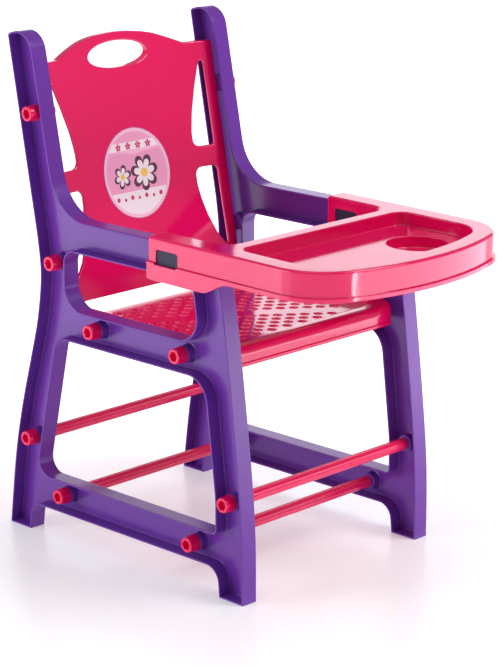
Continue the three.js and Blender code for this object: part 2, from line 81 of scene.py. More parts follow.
FLUTES = 10                     # along a cross rod
FLUTE_WAVE = 0.28               # half the depth of a flute
ROD_R = 6.2
PANEL_HALF = 117.25             # half the width between the side frames

SEAT_MARGIN = 88.0              # the floor of the seat curves up outside this
SEAT_RISE = 9.5
SEAT_CORNER = 10.0              # length of the section taken up by the rear edge
SEAT_WALL_T = 3
SEAT_BOSS_R = 6.3
HOLE_R = 4.6
HOLE_COLUMN = 11                # spacing of the holes across the seat
HOLE_ROW = 17                   # and along it
HOLES_FRONT = -100
HOLES_REAR = 60
PLAIN_BAND = 9.5                # half the width of the band without holes

BACK_LOW_Z = 250.0
BACK_SHOULDER_Z = 489.0
BACK_LEFT = 122.2
BACK_DEPTH = 8.0                # of the rim round the panel and its handle
BACK_WALL = 2.4
DISH = 11                       # depth of the hollow across the backrest
DISH_TOP = 4                    # added to it towards the top
HANDLE_Z = 485.5
HANDLE_HALF = (41.5, 13.5)      # half the width and height of the handle hole
DECAL_Z = 364.0
DECAL_R = 47.0
FIELD_R = 42.5                  # inside the sticker's printed rim

TRAY_TOP = 345.5
TRAY_UNDER = 342.8              # underside of the top
TRAY_WALL = 2.7
TRAY_HALF = 139.9
BOW_R = 301                     # of the bowed front
BOW_FRONT = -292
BOW_CORNER_R = 60
SLEEVE_IN = 114.55
SLEEVE_REAR = -47.5
NOTCH_Y = -129.5
LIP = 2.5                       # how far the lower edge stands out
STEP_Z = 321.0                  # top of the lip
LIP_INSIDE_Z = 318.2            # where the wall turns out into the lip, inside
SKIRT_Z = 316.5                 # bottom of the lip at the front
CHEEK_Z = 303.3                 # and beside the armrests
RECESS_HALF = 117
RECESS_REAR = -146
FLOOR_Z = 331.8
CUP = (66.0, -212.0, 30.5)      # x, y and radius of the cup well
CUP_FLOOR_Z = 320.0
PIVOT = (0.0, -138.0, 342.9)
DROOP = math.radians(0.7)
WINDOW = ((-89.0, 319.0), (-59.0, 334.0))
CATCH_GAP = 0.4
CATCH_T = 1.7

GRID_CLEARANCE = 1.5            # least distance from an outline to the filling points
WELD = 0.002                    # corners closer than this are one
QUARTER_TURNS = [math.radians(22.5 * k) for k in range(5)]

CAMERA_PLACE = (-1636.9, -1642.85, 854.1)
CAMERA_AZIMUTH = math.radians(-45.78)
CAMERA_ELEVATION = math.radians(15.47)
CAMERA_LENS = 126.46
FLOOR_HALF = 30000
PALE_VIOLET = (0.94, 0.9, 1.0)  # of the lamps that the plastic mirrors

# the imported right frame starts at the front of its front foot
SHIFT_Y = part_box("side_frame_right")[0][1] * 1000 - FRONT_FOOT_Y


# ---- outlines ---------------------------------------------------------------------------------
def rounded(corners, step=7.5):
    """Points of an outline given as (a, b, fillet radius) corners, one per step in degrees."""
    points = []
    for i, (a, b, radius) in enumerate(corners):
        corner = Vector((a, b))
        if not radius:
            points.append((a, b))
            continue
        back = (Vector(corners[i - 1][:2]) - corner).normalized()
        ahead = (Vector(corners[(i + 1) % len(corners)][:2]) - corner).normalized()
        half = math.acos(max(-1.0, min(1.0, back.dot(ahead)))) / 2
        centre = corner + (back + ahead).normalized() * (radius / math.sin(half))
        start = corner + back * (radius / math.tan(half)) - centre
        towards = corner - centre
        turn = start.x * towards.y - start.y * towards.x
        sweep = math.copysign(math.pi - 2 * half, turn)
        steps = max(1, round(abs(sweep) / math.radians(step)))
        for k in range(steps + 1):
            angle = sweep * k / steps
            x = start.x * math.cos(angle) - start.y * math.sin(angle)
            y = start.x * math.sin(angle) + start.y * math.cos(angle)
            points.append((centre.x + x, centre.y + y))
    return points


def smooth(places, count):
    """Points of a smooth curve through a few places, as corners without a fillet."""
    points = []
    for k in range(count + 1):
        at = k / count * (len(places) - 1)
        i = min(int(at), len(places) - 2)
        t = at - i
        p0 = Vector(places[max(i - 1, 0)])
        p1 = Vector(places[i])
        p2 = Vector(places[i + 1])
        p3 = Vector(places[min(i + 2, len(places) - 1)])
        v0 = (p2 - p0) / 2
        v1 = (p3 - p1) / 2
        cubic = (2 * p1 - 2 * p2 + v0 + v1) * t**3
        square = (3 * p2 - 3 * p1 - 2 * v0 - v1) * t**2
        p = cubic + square + v0 * t + p1
        points.append((p.x, p.y, 0))
    return points


def offset(loop, distance):
    """The outline moved sideways; a positive distance shrinks a counter-clockwise one."""
    moved = []
    for i, here in enumerate(loop):
        point = Vector(here)
        first = (point - Vector(loop[i - 1])).normalized()
        second = (Vector(loop[(i + 1) % len(loop)]) - point).normalized()
        n1 = Vector((-first.y, first.x))
        n2 = Vector((-second.y, second.x))
        amount = distance[i] if isinstance(distance, list) else distance
        moved.append(tuple(point + (n1 + n2) * (amount / (1 + n1.dot(n2)))))
    return moved


def refine(loop, spacing):
    """The outline with its long edges cut into pieces no longer than spacing."""
    points = []
    for i, (a, b) in enumerate(loop):
        c, d = loop[(i + 1) % len(loop)]
        pieces = max(1, math.ceil(math.hypot(c - a, d - b) / spacing))
        points.extend((a + (c - a) * k / pieces, b + (d - b) * k / pieces) for k in range(pieces))
    return points


def circle(a, b, radius, sides):
    """Points of a circle, counter-clockwise."""
    turns = [2 * math.pi * k / sides for k in range(sides)]
    return [(a + radius * math.cos(t), b + radius * math.sin(t)) for t in turns]


def mirrored(loop):
    """The outline on the other side of the middle plane, still counter-clockwise."""
    return [(-a, b) for a, b in reversed(loop)]


def quarter(centre, radius, start, steps=4):
    """A quarter turn of an edge profile, from the start angle in degrees, counter-clockwise."""
    angles = [math.radians(start + 90 * k / steps) for k in range(steps + 1)]
    return [(centre[0] + radius * math.cos(t), centre[1] + radius * math.sin(t)) for t in angles]


def smoothstep(value, low, high):
    """0 up to low, 1 from high on, and a smooth rise between them."""
    t = max(0.0, min(1.0, (value - low) / (high - low)))
    return t * t * (3 - 2 * t)


# ---- mesh building ----------------------------------------------------------------------------
def within(loop, a, b):
    """Whether the point (a, b) lies inside the outline."""
    inside = False
    for i, (a0, b0) in enumerate(loop):
        a1, b1 = loop[i - 1]
        if (b0 > b) != (b1 > b) and a < (a1 - a0) * (b - b0) / (b1 - b0) + a0:
            inside = not inside
    return inside


class Region:
    """A flat region with holes, for sorting points into inside and outside."""

    def __init__(self, outer, holes):
        self.outer = outer
        self.holes = []
        for hole in holes:
            low = (min(p[0] for p in hole), min(p[1] for p in hole))
            high = (max(p[0] for p in hole), max(p[1] for p in hole))
            self.holes.append((hole, low, high))

    def holds(self, a, b):
        """Whether the point (a, b) is in the region and in none of its holes."""
        for hole, low, high in self.holes:
            if low[0] < a < high[0] and low[1] < b < high[1] and within(hole, a, b):
                return False
        return within(self.outer, a, b)


def ring(bm, points):
    """New vertices at the points."""
    return [bm.verts.new(point) for point in points]


def skin(bm, rings):
    """Quads between successive rings of equal length."""
    for low, high in zip(rings, rings[1:]):
        for i, vert in enumerate(low):
            bm.faces.new((low[i - 1], vert, high[i], high[i - 1]))


def plate(bm, outer, holes, inner, place, marks=()):
    """A filled region, triangulated through the inner points and along the outlines of marks.

    Returns (face, a, b) for each triangle, with its middle.
    """
    coords = []
    edges = []
    for loop in [outer, *holes, *marks]:
        start = len(coords)
        coords.extend(loop)
        edges.extend((start + k, start + (k + 1) % len(loop)) for k in range(len(loop)))
    if inner:
        gaps = [offset(hole, -GRID_CLEARANCE) for hole in holes]
        clear = Region(offset(outer, GRID_CLEARANCE), gaps)
        coords.extend(point for point in inner if clear.holds(*point))
    verts, _, faces, *_ = delaunay_2d_cdt([Vector(c) for c in coords], edges, [], 0, 1e-5)
    region = Region(outer, holes)
    made = [bm.verts.new(place(v.x, v.y)) for v in verts]
    filled = []
    for face in faces:
        a = sum(verts[k].x for k in face) / len(face)
        b = sum(verts[k].y for k in face) / len(face)
        if region.holds(a, b):
            filled.append((bm.faces.new([made[k] for k in face]), a, b))
    return filled


def sheet(bm, outer, holes, path, place, inner=(), hole_paths=None):
    """A moulding from its outline: path is a list of (depth, inset) from face to back.

    Holes follow the same path, or one each that starts and ends at the same depths.
    """
    edges = [(outer, 1, path)]
    edges += [(hole, -1, own) for hole, own in zip(holes, hole_paths or [path] * len(holes))]
    for loop, sign, steps in edges:
        rings = []
        for depth, inset in steps:
            rings.append(ring(bm, [place(a, b, depth) for a, b in offset(loop, sign * inset)]))
        skin(bm, rings)
    for end in (0, -1):
        rim, *gaps = [offset(loop, sign * steps[end][1]) for loop, sign, steps in edges]
        plate(bm, rim, gaps, inner, lambda a, b, d=path[end][0]: place(a, b, d))


def slab_path(thickness, radius):
    """The edge of a slab, rounded on both faces."""
    front = quarter((radius, radius), radius, 180)
    return front + quarter((thickness - radius, radius), radius, 270)


def turned(bm, profile, y, z, section=None, sides=32):
    """A turned piece on an axis along X, from (x, radius) points; section shapes the radius."""
    rings = []
    for x, radius in profile:
        points = []
        for k in range(sides):
            angle = 2 * math.pi * k / sides
            r = section(angle, x, radius) if section else radius
            points.append((x, y + r * math.cos(angle), z + r * math.sin(angle)))
        rings.append(ring(bm, points))
    skin(bm, rings)
    bm.faces.new(rings[0])
    bm.faces.new(rings[-1])


def to_model(point):
    """A place in millimetres from the feet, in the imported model's frame."""
    return Vector((point[0], point[1] + SHIFT_Y, point[2])) / 1000


def tilted(point):
    """A point of the tray, tipped forward about the front of the armrests."""
    pivot = Vector(PIVOT)
    return Matrix.Rotation(DROOP, 3, "X") @ (Vector(point) - pivot) + pivot


def make(name, bm, material, move=to_model):
    """Turn a bmesh in millimetres into an object in the model's frame."""
    bmesh.ops.remove_doubles(bm, verts=bm.verts, dist=WELD)
    bmesh.ops.recalc_face_normals(bm, faces=bm.faces)
    for vert in bm.verts:
        vert.co = move(vert.co)
    mesh = bpy.data.meshes.new(name)
    bm.to_mesh(mesh)
    bm.free()
    obj = bpy.data.objects.new(name, mesh)
    bpy.context.scene.collection.objects.link(obj)
    mesh.materials.append(material)
    return obj


def polish(obj, angle=38):
    """Smooth shading with flat faces kept flat."""
    mesh = obj.data
    mesh.polygons.foreach_set("use_smooth", [True] * len(mesh.polygons))
    mesh.set_sharp_from_angle(angle=math.radians(angle))
    normals = obj.modifiers.new("weighted normals", "WEIGHTED_NORMAL")
    normals.keep_sharp = True
    normals.weight = 80


def install(obj, node, body="chair"):
    """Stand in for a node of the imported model, riding its body."""
    polish(obj)
    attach(obj, body)
    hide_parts(node)


# ---- materials --------------------------------------------------------------------------------
def linear(red, green, blue):
    """Scene colour of an 8-bit screen colour."""
    levels = (red, green, blue)
    return [((c / 255 + 0.055) / 1.055) ** 2.4 if c > 10 else c / 3295 for c in levels] + [1]


def scaled(colour, amount):
    """A scene colour made paler or darker."""
    return [min(1, c * amount) for c in colour[:3]] + [1]


def new_material(name):
    """A material's node tree, its shader and its object coordinates."""
    material = bpy.data.materials.new(name)
    material.use_nodes = True
    tree = material.node_tree
    place = tree.nodes.new("ShaderNodeTexCoord").outputs["Object"]
    return material, tree, tree.nodes["Principled BSDF"], place


def noise(tree, place, scale, detail=2):
    """Noise fixed to the object."""
    node = tree.nodes.new("ShaderNodeTexNoise")
    node.inputs["Scale"].default_value = scale
    node.inputs["Detail"].default_value = detail
    tree.links.new(place, node.inputs["Vector"])
    return node.outputs["Fac"]


def mix(tree, factor, low, high):
    """A colour between two others; low may be a colour or the output of a node."""
    node = tree.nodes.new("ShaderNodeMix")
    node.data_type = "RGBA"
    if isinstance(low, list):
        node.inputs["A"].default_value = low
    else:
        tree.links.new(low, node.inputs["A"])
    node.inputs["B"].default_value = high
    tree.links.new(factor, node.inputs["Factor"])
    return node.outputs["Result"]


def painted_edge_highlight(tree, edge_highlight_amount):
    """How far the painted edge highlight shows: the given amount on sharp ridges, none on the
    faces.
    """
    ramp = tree.nodes.new("ShaderNodeValToRGB")
    face, ridge = ramp.color_ramp.elements
    face.position = 0.53
    face.color = (0, 0, 0, 1)
    ridge.position = 0.64
    ridge.color = (edge_highlight_amount, edge_highlight_amount, edge_highlight_amount, 1)
    shape = tree.nodes.new("ShaderNodeNewGeometry")
    tree.links.new(shape.outputs["Pointiness"], ramp.inputs["Fac"])
    return ramp.outputs["Color"]


def plastic(name, colour, edge, rough=0.2, coat=0.3, edge_highlight_amount=0.4, shine=0.5):
    """Injection-moulded plastic: flow marks, faint orange peel, and a painted highlight along
    sharp edges.
    """
    material, tree, shader, place = new_material(name)
    shader.inputs["Coat Weight"].default_value = coat
    shader.inputs["Coat Roughness"].default_value = 0.08
    shader.inputs["Specular IOR Level"].default_value = shine

    base = linear(*colour)
    flow = mix(tree, noise(tree, place, 9, 3), scaled(base, 0.94), scaled(base, 1.06))
    # edge is the colour of a painted highlight laid along sharp ridges
    tint = mix(tree, painted_edge_highlight(tree, edge_highlight_amount), flow, linear(*edge))
    tree.links.new(tint, shader.inputs["Base Color"])

    gloss = tree.nodes.new("ShaderNodeMapRange")
    gloss.inputs["To Min"].default_value = rough * 0.8
    gloss.inputs["To Max"].default_value = rough * 1.25
    tree.links.new(noise(tree, place, 40, 5), gloss.inputs["Value"])
    tree.links.new(gloss.outputs["Result"], shader.inputs["Roughness"])

    peel = tree.nodes.new("ShaderNodeBump")
    peel.inputs["Strength"].default_value = 0.05
    peel.inputs["Distance"].default_value = 0.0006
    tree.links.new(noise(tree, place, 260), peel.inputs["Height"])
    tree.links.new(peel.outputs["Normal"], shader.inputs["Normal"])
    return material


def paper(name, colour):
    """Printed sticker under a clear film."""
    material, tree, shader, place = new_material(name)
    shader.inputs["Roughness"].default_value = 0.3
    shader.inputs["Coat Weight"].default_value = 0.5
    shader.inputs["Coat Roughness"].default_value = 0.05
    base = linear(*colour)
    tint = mix(tree, noise(tree, place, 700), scaled(base, 0.93), base)
    tree.links.new(tint, shader.inputs["Base Color"])
    return material


# the second colour of each plastic is its painted edge highlight
PURPLE = plastic("purple_plastic", (106, 50, 156), (150, 112, 192),
                 rough=0.22, coat=0.0, edge_highlight_amount=0.2, shine=0.4)
PINK = plastic("pink_plastic", (228, 8, 92), (248, 80, 140), rough=0.12)
TRAY_PINK = plastic("tray_plastic", (226, 10, 92), (250, 100, 150), rough=0.1, coat=0.1)
ROD_PINK = plastic("rod_plastic", (232, 6, 84), (248, 90, 140), rough=0.2, coat=0.0)
SLATE = plastic("catch_plastic", (30, 26, 62), (90, 84, 130), rough=0.45, coat=0.0, shine=0.3)


# ---- side frames ------------------------------------------------------------------------------
def frame_outline():
    """(y, z) outline of a side frame."""
    rear = smooth([(172, 0), (160.5, 81), (147.4, 139), (132.3, 191), (120.6, 234),
                   (114.4, 280), (118.3, 319)], 36)
    front = smooth([(-141, 316), (-152.3, 243), (-169.4, 93), (-171.7, 0)], 24)
    return rounded([
        (-139.5, 0, 0), (-136.5, 29.5, 16), (136, 29.5, 16), (140, 0, 0),
        *rear,
        (155.9, 520, 3.6), (124.1, 529, 22), (87.5, 342.6, 51), (-136.6, 342.6, 8),
        *front,
    ], 6)


def frame_windows():
    """The large window between the legs and the one under the armrest."""
    lower = rounded([(-134.5, 64.5, 5), (127, 64.5, 16), (92.3, 216.5, 14),
                     (-120.5, 216.5, 26), (-134.5, 100, 80)], 6)
    upper = rounded([(-114, 250, 24), (77.5, 250, 25), (77.5, 310, 14), (-104.5, 310, 10)], 6)
    return [lower, upper]


def channel_path():
    """(depth from the back of the web, inset) round the flange and down to the web."""
    edge = 1.0
    rim = 0.5
    fillet = 1.0
    rim_edge = quarter((FRAME_T - rim, FLANGE_T - rim), rim, 0, 3)
    inside = quarter((WEB_T + fillet, FLANGE_T + fillet), fillet, 180, 3)
    return slab_path(FRAME_T, edge) + rim_edge + inside[::-1]


def boss(bm, web_face, y, z):
    """A round boss standing on the web towards -X, with a fillet at its foot."""
    profile = [(0.5, BOSS_R + 1.6), (0, BOSS_R + 1.5), (-0.3, BOSS_R + 0.6), (-1.4, BOSS_R),
               (-BOSS_L + 0.5, BOSS_R), (-BOSS_L, BOSS_R - 0.5)]
    turned(bm, [(web_face + x, radius) for x, radius in profile], y, z)


def side_frame(side, shift):
    """One of the two side frames; both are the same moulding, open towards -X."""
    back = -FRAME_IN + shift
    bm = bmesh.new()
    sheet(bm, frame_outline(), frame_windows(), channel_path(),
          lambda a, b, depth: (back - depth, a, b))
    for y, z in BOLTS.values():
        boss(bm, back - WEB_T, y, z)
    name = f"side_frame_{side}"
    obj = make(f"{name}_moulding", bm, PURPLE)
    install(obj, name)


# ---- bolts and rods ---------------------------------------------------------------------------
def head_section(seat, tip):
    """A barrel with shallow grips and a six-sided socket."""
    sector = math.pi / 3
    widen = 1.08

    def section(angle, x, radius):
        along = (x - seat) / (tip - seat)
        if radius > 5 and 0.1 < along < 0.85:
            return radius - GRIP_WAVE * (1 - math.cos(GRIPS * angle))
        if 4.2 < radius < 5 and along > 0.3:
            return radius * math.cos(sector / 2) / math.cos(angle % sector - sector / 2) * widen
        return radius
    return section


def bolt(place, side):
    """A bolt with its shank: on a boss of the right frame, or flat on the left one."""
    if side == "right":
        seat, tip, end = -(BOSS_FACE + FIT), -HEAD_TIP_X, -(FRAME_IN + WEB_T + 0.5)
    else:
        seat, tip, end = FRAME_OUT + FIT, HEAD_TIP_X, FRAME_OUT + 0.05
    out = math.copysign(1, tip - seat)
    y, z = BOLTS[place]
    profile = [(end, 3.9), (seat, 4.0), (seat, 8.0), (seat + out * 0.5, 8.5),
               (seat + out * 1.2, 8.5), (tip - out * 1.6, 7.6), (tip - out * 0.9, 7.45),
               (tip - out * 0.3, 7.2), (tip, 6.8), (tip, 5.3), (tip - out * 0.4, 4.8),
               (tip - out * 5.0, 4.5)]
    bm = bmesh.new()
    turned(bm, profile, y, z, head_section(seat, tip), 120)
    name = f"bolt_{side}_{place}"
    obj = make(f"{name}_head", bm, ROD_PINK)
    install(obj, name)


def fluted(angle, _x, radius):
    """The radius of a fluted rod at an angle."""
    return radius - FLUTE_WAVE * (1 - math.cos(FLUTES * angle))


def cross_rod(place):
    """A fluted rod between the side frames, narrower at its ends."""
    y, z = BOLTS[place]
    start, end = -PANEL_HALF, LEFT_BOSS_X - FIT
    profile = [(start, 5.4), (start + 0.6, ROD_R), (end - 0.6, ROD_R), (end, 5.4)]
    bm = bmesh.new()
    turned(bm, profile, y, z, fluted, 120)
    name = f"cross_rod_{place}"
    obj = make(f"{name}_extrusion", bm, ROD_PINK)
    install(obj, name)


# ---- seat -------------------------------------------------------------------------------------
def seat_section():
    """(y, z) line of the upper face: rear edge, floor, rise, rolled front, lip."""
    return rounded([
        (72, 229, 0), (72, 240, 2.6), (-107, 240, 12), (-117, 245, 12), (-135.2, 245, 10),
        (-135.2, 228.6, 0.8), (-136.3, 227.6, 0.8), (-136.3, 224.5, 0),
    ], 9)


class Line:
    """A polyline in (y, z), walked by distance."""

    def __init__(self, points):
        self.points = points
        self.at = [0.0]
        for (y0, z0), (y1, z1) in zip(points, points[1:]):
            self.at.append(self.at[-1] + math.hypot(y1 - y0, z1 - z0))

    def place(self, s):
        """The point at distance s from the start."""
        i = 0
        while i < len(self.at) - 2 and self.at[i + 1] < s:
            i += 1
        t = (s - self.at[i]) / (self.at[i + 1] - self.at[i])
        (y0, z0), (y1, z1) = self.points[i], self.points[i + 1]
        return y0 + (y1 - y0) * t, z0 + (z1 - z0) * t

    def normal(self, s):
        """The direction away from the upper face at distance s."""
        y0, z0 = self.place(max(0, s - 0.4))
        y1, z1 = self.place(min(self.at[-1], s + 0.4))
        length = math.hypot(y1 - y0, z1 - z0)
        return (z1 - z0) / length, -(y1 - y0) / length


def hole_places():
    """Staggered holes, with one diagonal of the floor left plain."""
    places = []
    for column in range(-8, 9):
        x = column * HOLE_COLUMN
        stagger = HOLE_ROW / 2 if column % 2 else 0
        for row in range(10):
            y = HOLES_FRONT + stagger + HOLE_ROW * row
            if y < HOLES_REAR and abs(y + 38 + 0.67 * x) > PLAIN_BAND:
                places.append((x, y))
    return places


def seat_floor(bm, line):
    """The perforated panel: flat in (x, distance along the section), then bent to its shape."""
    def place(x, s, depth):
        y, z = line.place(s)
        ny, nz = line.normal(s)
        margin = (abs(x) - SEAT_MARGIN) / (PANEL_HALF - SEAT_MARGIN)
        rise = max(0.0, margin) ** 2 * SEAT_RISE
        keep = 1 - 0.5 * smoothstep(-y, 100, 118) - 0.4 * smoothstep(-z, -240, -228)
        lift = rise * keep if s > SEAT_CORNER else rise * s / SEAT_CORNER
        return (x, y - ny * depth, z + lift - nz * depth)

    # rows 9 mm apart; columns 12 mm apart on the floor and 2.2 mm in the curved margins
    stops = sorted({round(s, 3) for s in line.at} | {13 + 9.0 * k for k in range(19)})
    columns = [-78 + 12 * k for k in range(14)]
    columns += [side * (86 + 2.2 * k) for k in range(14) for side in (-1, 1)]
    rear = [(x, 0.0) for x in sorted(columns)]
    right = [(PANEL_HALF, s) for s in stops]
    front = [(x, line.at[-1]) for x in sorted(columns, reverse=True)]
    left = [(-PANEL_HALF, s) for s in reversed(stops)]
    inner = [(x, s) for x in columns for s in stops[1:-1]]
    # distances along the floor are counted from just past the fillet of the rear edge
    floor_start = next(s for s in stops if line.place(s)[0] < 69)
    start_y = line.place(floor_start)[0]
    holes = [circle(x, floor_start + start_y - y, HOLE_R, 24) for x, y in hole_places()]
    path = quarter((0.7, 0.7), 0.7, 180, 3) + quarter((2.6, 0.4), 0.4, 270, 2)
    sheet(bm, rear + right + front + left, holes, path, place, inner)


def seat():
    """The seat: perforated panel, a wall at each side and blind bosses for the bolts."""
    bm = bmesh.new()
    seat_floor(bm, Line(seat_section()))
    wall = rounded([(-129, 224, 5), (66, 224, 5), (66, 249.3, 5), (-129, 249.3, 9)])
    for low in (-PANEL_HALF, PANEL_HALF - SEAT_WALL_T):
        sheet(bm, wall, [], slab_path(SEAT_WALL_T, 0.5),
              lambda a, b, depth, x=low: (x + depth, a, b))
    for name in SEAT_BOLTS:
        for start, end in ((-PANEL_HALF + 1, -PANEL_HALF + 18.7),
                           (LEFT_BOSS_X - 19, LEFT_BOSS_X - FIT)):
            turned(bm, [(start, SEAT_BOSS_R), (end, SEAT_BOSS_R)], *BOLTS[name])
    obj = make("seat_moulding", bm, PINK)
    install(obj, "seat")


# ---- backrest ---------------------------------------------------------------------------------
def back_face(x, z):
    """y of the front face: a straight leaning line at the sides, hollow in the middle."""
    (low_y, low_z), (high_y, high_z) = BOLTS["back_lower"], BOLTS["back_upper"]
    dish = DISH * smoothstep(z, BACK_LOW_Z, 340) + DISH_TOP * smoothstep(z, 410, 490)
    side = low_y + (high_y - low_y) / (high_z - low_z) * (z - low_z)
    return side + dish * (1 - (x / FRAME_IN) ** 2)


def back_outline():
    """(x, z) outline of the backrest, with its domed top."""
    dome = smooth([(88, BACK_SHOULDER_Z), (74, 494.5), (50, 502.5), (25, 506.6), (0, 508),
                   (-25, 506.6), (-50, 502.5), (-74, 494.5), (-88, BACK_SHOULDER_Z)], 56)
    return refine(rounded([
        (-PANEL_HALF, BACK_LOW_Z, 6), (BACK_LEFT, BACK_LOW_Z, 6),
        (BACK_LEFT, BACK_SHOULDER_Z, 0), *dome, (-PANEL_HALF, BACK_SHOULDER_Z, 0),
    ]), 5)


def back_holes():
    """The handle hole, and the two windows at each side."""
    wide, high = HANDLE_HALF
    grip = [(wide * a, HANDLE_Z + high * b) for a, b in circle(0, 0, 1, 72)]
    upper = rounded([(82.5, 380, 8), (110, 380, 4), (110, 468, 3), (104, 468, 3), (94.8, 443, 30),
                     (86.5, 416, 40), (82.8, 396, 20)])
    lower = rounded([(110, 276, 2), (110, 358, 6), (81, 358, 8), (81.5, 340, 12), (84, 325, 20),
                     (88.4, 308, 20), (96.5, 288.5, 20), (106, 276, 2)])
    sides = [refine(loop, 4) for loop in (upper, lower)]
    return [grip, *sides, *[mirrored(loop) for loop in sides]]


def backrest():
    """A dished panel, with a deep rim round its outline and handle and plain windows."""
    edge = 1.6
    rim = 0.8
    lip = 0.5
    fillet = 0.6
    front = quarter((edge, edge), edge, 180, 5)
    deep = (front + quarter((BACK_DEPTH - rim, rim), rim, 270, 3)
            + quarter((BACK_DEPTH - lip, BACK_WALL - lip), lip, 0, 2)
            + quarter((3.6, BACK_WALL + fillet), fillet, 180, 3)[::-1])
    thin = front + quarter((2.4, fillet), fillet, 270, 3)
    grip, *windows = back_holes()
    inner = [(-115 + 5 * i, 252.5 + 5 * k) for i in range(48) for k in range(51)]
    bm = bmesh.new()
    sheet(bm, back_outline(), [grip, *windows], deep,
          lambda x, z, d: (x, back_face(x, z) + d, z), inner, [deep] + [thin] * len(windows))
    boss_end = [(0.05, 6.0), (6.6, 6.0), (7, 5.6)]
    for name in BACK_BOLTS:
        turned(bm, [(-PANEL_HALF + x, radius) for x, radius in boss_end], *BOLTS[name])
    obj = make("backrest_moulding", bm, PINK)
    install(obj, "backrest")


# ---- sticker ----------------------------------------------------------------------------------
def petal(centre, angle, reach, width, sides=20):
    """An egg-shaped petal pointing away from a flower's centre."""
    points = []
    for a, b in circle(0, 0, 1, sides):
        along = reach * (0.55 + 0.45 * a)
        across = width * b * (0.75 + 0.25 * a)
        points.append((centre[0] + along * math.cos(angle) - across * math.sin(angle),
                       centre[1] + along * math.sin(angle) + across * math.cos(angle)))
    return points


def flower(centre, reach, width, petals):
    """The outlines of a flower's petals."""
    return [petal(centre, 2 * math.pi * (k + 0.25) / petals, reach, width) for k in range(petals)]


def flower_print():
    """(ink, outlines) of everything printed on the sticker, from the bottom layer up."""
    z0 = DECAL_Z
    field = circle(0, z0, FIELD_R, 144)
    layers = [
        ("rim", [circle(0, z0, 45.9, 96)]),
        ("field", [field]),
        ("white", [[(a, b) for a, b in field if b < z0 - 17]]),
        ("white", [[(a, b) for a, b in field if z0 + 23 < b < z0 + 33]]),
    ]
    flowers = ((11, -1, 19, 6.8, 7), (-20, -2, 12.5, 4.9, 6))
    for x, z, reach, width, petals in flowers:
        middle = (x, z0 + z)
        layers.append(("plum", flower(middle, reach, width, petals)))
        layers.append(("white", flower(middle, reach * 0.76, width * 0.67, petals)))
        layers.append(("gold", [circle(*middle, reach * 0.25, 24)]))
    for k in range(7):
        spot = (-30 + 10 * k, z0 - 24.5 - 1.2 * (k % 2))
        layers.append(("rose", [circle(*spot, 1.7 if k % 2 else 2.4, 16)]))
    for x in (-21, -7, 7, 21):
        layers.append(("rose", flower((x, z0 + 28), 4.0, 1.7, 5)))
    return layers


def decal():
    """A thin disc whose front is divided along the outlines of its print."""
    inks = {
        "outline": paper("sticker_outline", (206, 48, 132)),
        "rim": paper("sticker_rim", (252, 200, 224)),
        "field": paper("sticker_field", (246, 164, 202)),
        "white": paper("sticker_white", (250, 236, 244)),
        "plum": paper("sticker_plum", (92, 40, 78)),
        "rose": paper("sticker_rose", (214, 44, 110)),
        "gold": paper("sticker_gold", (250, 205, 90)),
    }
    order = list(inks)
    disc = refine(circle(0, DECAL_Z, DECAL_R, 96), 4)
    grid = [(-45 + 5 * i, DECAL_Z - 45 + 5 * k) for i in range(19) for k in range(19)]

    def place(depth):
        return lambda x, z: (x, back_face(x, z) + depth, z)

    bm = bmesh.new()
    skin(bm, [ring(bm, [place(depth)(x, z) for x, z in offset(disc, inset)])
              for depth, inset in ((-0.05, 0), (-0.2, 0), (-0.25, 0.1))])
    plate(bm, disc, [], grid, place(-0.05))
    printed = [(ink, Region(shape, [])) for ink, shapes in flower_print() for shape in shapes]
    marks = [region.outer for _, region in printed]
    for face, x, z in plate(bm, offset(disc, 0.1), [], grid, place(-0.25), marks):
        ink = next((ink for ink, region in reversed(printed) if region.holds(x, z)), "outline")
        face.material_index = order.index(ink)
    obj = make("sticker_print", bm, inks["outline"])
    for ink in order[1:]:
        obj.data.materials.append(inks[ink])
    install(obj, "decal")


# ---- tray -------------------------------------------------------------------------------------
def bulging_front(half, inset):
    """(x, y) points of the bowed front and its rounded corners, from right to left."""
    radius = BOW_R - inset
    fillet = BOW_CORNER_R - inset
    centre_y = BOW_FRONT + BOW_R
    fillet_x = half - fillet
    fillet_y = centre_y - math.sqrt((radius - fillet) ** 2 - fillet_x**2)
    meet = math.atan2(fillet_x, centre_y - fillet_y)
    corner = []
    for k in range(15):
        angle = k / 14 * (math.pi / 2 - meet)
        corner.append((fillet_x + fillet * math.cos(angle), fillet_y - fillet * math.sin(angle)))
    middle = []
    for k in range(1, 30):
        angle = -meet + 2 * meet * k / 30
        middle.append((radius * math.sin(angle), centre_y - radius * math.cos(angle)))
    return [(-a, b) for a, b in corner] + middle + corner[::-1]


def tray_outline():
    """(x, y) outline of the tray: the bowed front and a sleeve over each armrest."""
    front = bulging_front(TRAY_HALF, 0)
    side = front[-1][1]
    rear = rounded([
        (TRAY_HALF, side, 0), (TRAY_HALF, SLEEVE_REAR, 3.3), (SLEEVE_IN, SLEEVE_REAR, 3.3),
        (SLEEVE_IN, NOTCH_Y, 20), (-SLEEVE_IN, NOTCH_Y, 20), (-SLEEVE_IN, SLEEVE_REAR, 3.3),
        (-TRAY_HALF, SLEEVE_REAR, 3.3), (-TRAY_HALF, side, 0),
    ])
    return refine(front + rear[1:-1], 3.5)


def recess_outline():
    """(x, y) outline of the recess, parallel to the front of the tray."""
    front = bulging_front(RECESS_HALF, 20)
    side = front[-1][1]
    rear = rounded([(RECESS_HALF, side, 0), (RECESS_HALF, RECESS_REAR, 14),
                    (-RECESS_HALF, RECESS_REAR, 14), (-RECESS_HALF, side, 0)])
    return refine(front + rear[1:-1], 5)


def flare(a, b):
    """How far the lip stands out: all of it outside, none on the inner walls of the sleeves."""
    return 1.0 if b < -135 else smoothstep(abs(a), 128, 136)


